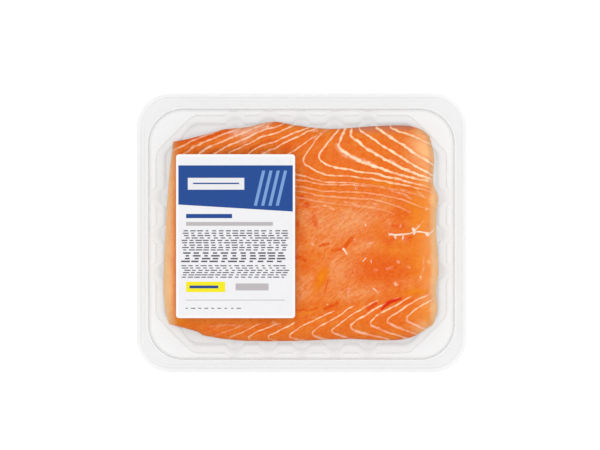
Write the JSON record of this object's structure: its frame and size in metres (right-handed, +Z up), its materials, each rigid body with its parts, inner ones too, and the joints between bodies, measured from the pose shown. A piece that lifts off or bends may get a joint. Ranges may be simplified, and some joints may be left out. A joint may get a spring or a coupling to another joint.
{
  "type": "packed skin-on salmon fillet",
  "caption": "Skin-on salmon fillet portion lying flesh side up in a clear fluted tray, sealed under clear lidding film with a paper label.",
  "frame": {"origin": "centre of the tray's footprint, on the surface that it stands on", "axes": "+X along the pack from the head cut to the tail cut, +Y towards the belly edge, +Z up through the film"},
  "size_m": [0.19, 0.161, 0.0231],
  "materials": {
    "tray": "clear thermoformed plastic with a faint grey cast",
    "skin": "wet silver-grey fish skin with fine scales",
    "flesh": "moist raw orange flesh with pale fat lines",
    "film": "clear glossy film",
    "label": "printed paper with a satin face"
  },
  "bodies": {
    "root": {"tray_rim": "tray", "tray_wall": "tray", "tray_floor": "tray", "skin": "skin", "flesh": "flesh", "film": "film", "label": "label"}
  },
  "joints": []
}
